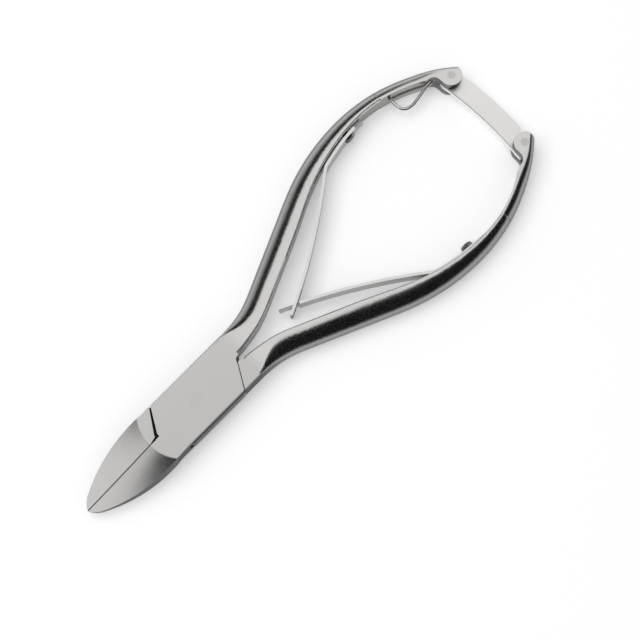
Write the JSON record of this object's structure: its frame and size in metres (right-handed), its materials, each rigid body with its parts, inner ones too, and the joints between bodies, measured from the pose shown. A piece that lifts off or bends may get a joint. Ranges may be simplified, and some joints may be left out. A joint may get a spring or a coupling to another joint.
{
  "type": "nail nipper",
  "caption": "Plier-type nail nipper with a box joint, hollow-ground jaws, crossed leaf springs and a hooked latch bar across the forked handle ends.",
  "frame": {"origin": "on the joint rivet's axis, in the plane of the flat back faces", "axes": "+X along the tool from the rivet to the handle ends, +Y towards the slotted half's handle, +Z out of the front face"},
  "size_m": [0.1395, 0.0492, 0.007],
  "materials": {
    "satin_steel": "satin",
    "spring_steel": "satin",
    "dark_steel": "satin",
    "bright_steel": "polished"
  },
  "bodies": {
    "slotted_half": {"box_half": "satin_steel", "joint_rivet": "satin_steel", "left_spring_screw": "dark_steel", "latch_pivot_pin": "satin_steel", "latch_wire_spring": "spring_steel"},
    "solid_half": {"tongue_half": "satin_steel", "right_spring_screw": "dark_steel", "catch_pin": "satin_steel"},
    "left_leaf": {"left_leaf_spring": "spring_steel"},
    "right_leaf": {"right_leaf_spring": "spring_steel"},
    "latch": {"latch_bar": "bright_steel"}
  },
  "joints": [
    {"name": "jaw_pivot", "type": "hinge", "parent": "slotted_half", "child": "solid_half", "pos_m": [0, 0, 0], "axis": [0, 0, -1], "range_deg": [0, 23]},
    {"name": "latch_swing", "type": "hinge", "parent": "slotted_half", "child": "latch", "pos_m": [0.0996, 0.0122, 0], "axis": [0, 0, -1], "range_deg": [0, 69]},
    {"name": "left_leaf_flex", "type": "hinge", "parent": "slotted_half", "child": "left_leaf", "pos_m": [0.062, 0.0184, 0], "axis": [0, 0, 1], "range_deg": [0, 15.1], "deforming": ["left_leaf_spring"]},
    {"name": "right_leaf_flex", "type": "hinge", "parent": "solid_half", "child": "right_leaf", "pos_m": [0.062, -0.0184, 0], "axis": [0, 0, -1], "range_deg": [0, 15.1], "deforming": ["right_leaf_spring"]}
  ],
  "couplings": [
    {"joint": "latch_swing", "follows": "jaw_pivot", "ratio": 3},
    {"joint": "left_leaf_flex", "follows": "jaw_pivot", "ratio": 0.6565},
    {"joint": "right_leaf_flex", "follows": "jaw_pivot", "ratio": 0.6565}
  ]
}
